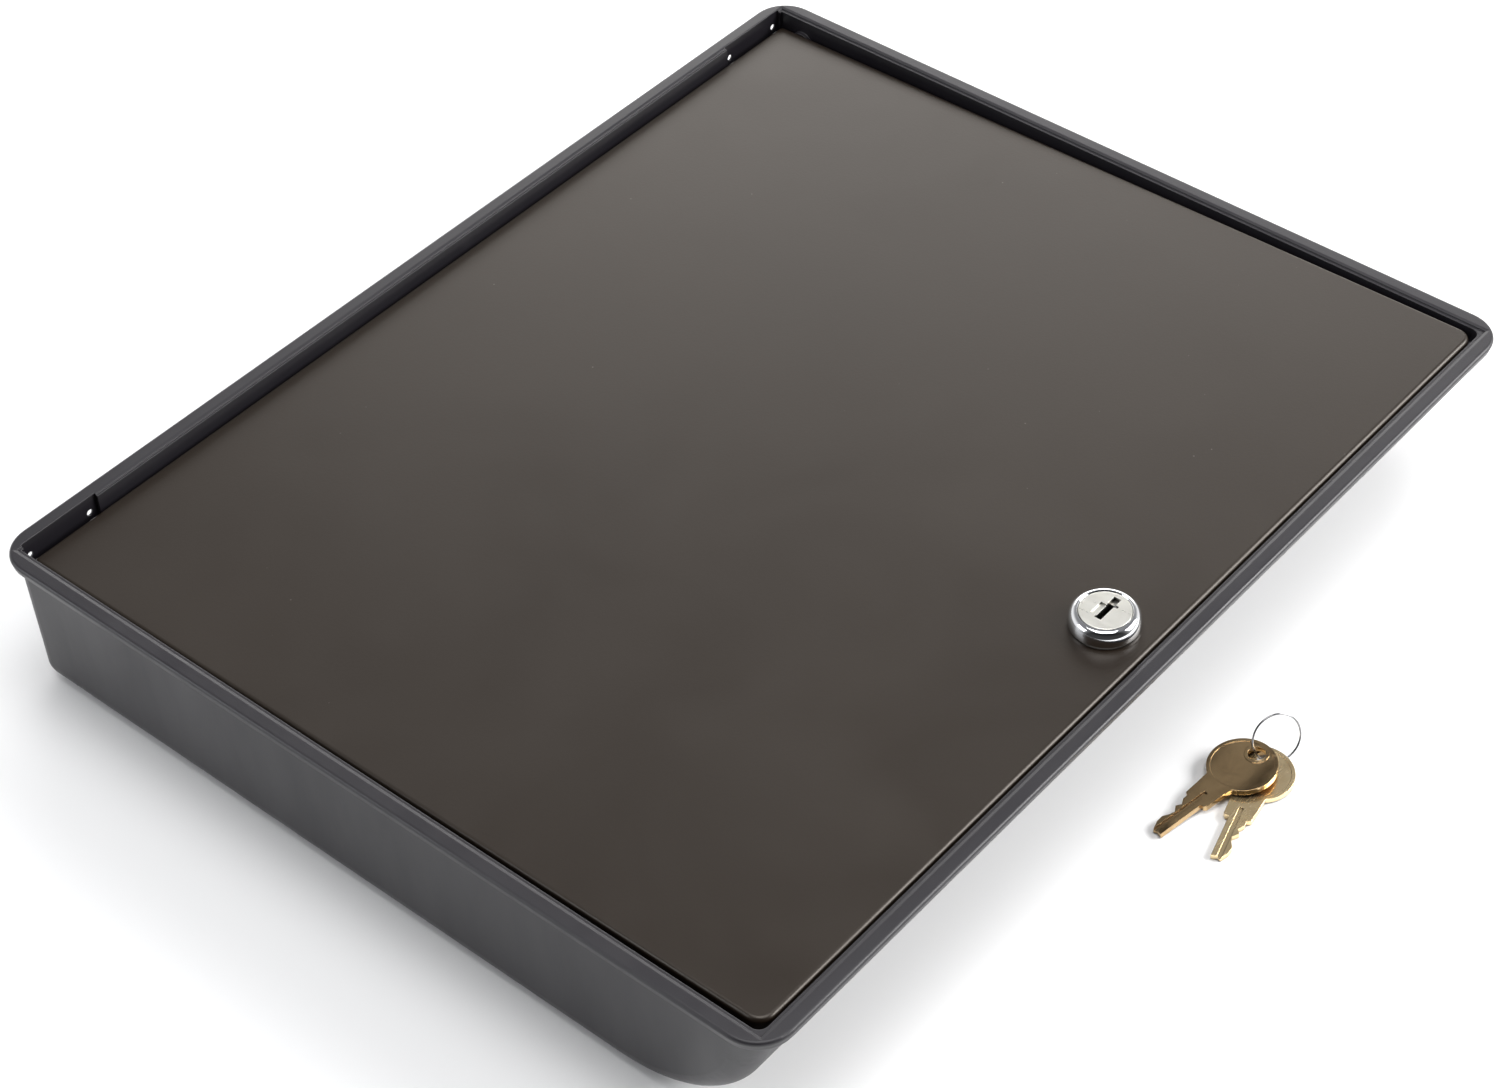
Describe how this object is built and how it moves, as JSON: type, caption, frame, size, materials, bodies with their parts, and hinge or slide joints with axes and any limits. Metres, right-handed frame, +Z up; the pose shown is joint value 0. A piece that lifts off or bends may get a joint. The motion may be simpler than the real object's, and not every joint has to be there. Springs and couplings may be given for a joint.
{
  "type": "locking cash drawer tray",
  "caption": "Shallow moulded cash tray with scooped coin cups, note wells and an overhanging rim, a hinged steel lid with a round cam lock, and keys on a wire ring.",
  "frame": {"origin": "on the floor under the middle of the tray's rim outline", "axes": "+X to the right seen from the lock side, +Y from the lock side to the hinge side, +Z up"},
  "size_m": [0.354, 0.3166, 0.0558],
  "materials": {
    "tray_plastic": "black moulded plastic, satin, with faint flow marks",
    "lid_paint": "satin dark brown-grey stoved paint with fine orange peel",
    "lock_chrome": "bright chrome plate",
    "plug_nickel": "satin nickel plate",
    "zinc_steel": "zinc plated steel",
    "wafer_brass": "stamped brass",
    "key_brass": "stamped brass, lightly tarnished",
    "ring_wire": "drawn spring steel wire"
  },
  "bodies": {
    "tray": {"tray_moulding": "tray_plastic"},
    "lid": {"lid_panel": "lid_paint", "hinge_pin_left": "zinc_steel", "hinge_pin_right": "zinc_steel", "lock_housing": "lock_chrome", "lock_nut": "zinc_steel", "lock_spur_washer": "zinc_steel"},
    "plug": {"lock_plug": "plug_nickel", "lock_wafer_1": "wafer_brass", "lock_wafer_2": "wafer_brass", "lock_wafer_3": "wafer_brass", "lock_wafer_4": "wafer_brass", "wafer_spring_1": "ring_wire", "wafer_spring_2": "ring_wire", "wafer_spring_3": "ring_wire", "wafer_spring_4": "ring_wire", "lock_cam": "zinc_steel", "cam_spring_washer": "zinc_steel", "cam_screw": "zinc_steel"},
    "key_set": {"key_ring": "ring_wire", "key_lower": "key_brass"},
    "upper_key": {"key_upper": "key_brass"}
  },
  "joints": [
    {"name": "lid_hinge", "type": "hinge", "parent": "tray", "child": "lid", "pos_m": [0, 0.1278, 0.04135], "axis": [-1, 0, 0], "range_deg": [0, 110]},
    {"name": "lock_turn", "type": "hinge", "parent": "lid", "child": "plug", "pos_m": [-0.002, -0.12042, 0.05037], "axis": [0, -0.0162, -0.9999], "range_deg": [0, 90]},
    {"name": "keys_lift", "type": "slide", "parent": "tray", "child": "key_set", "axis": [0, 0, 1], "range_m": [0, 0.1]},
    {"name": "upper_key_swing", "type": "hinge", "parent": "key_set", "child": "upper_key", "pos_m": [0.0215, -0.16, 0.004], "axis": [0, 0, -1], "range_deg": [0, 12]}
  ]
}
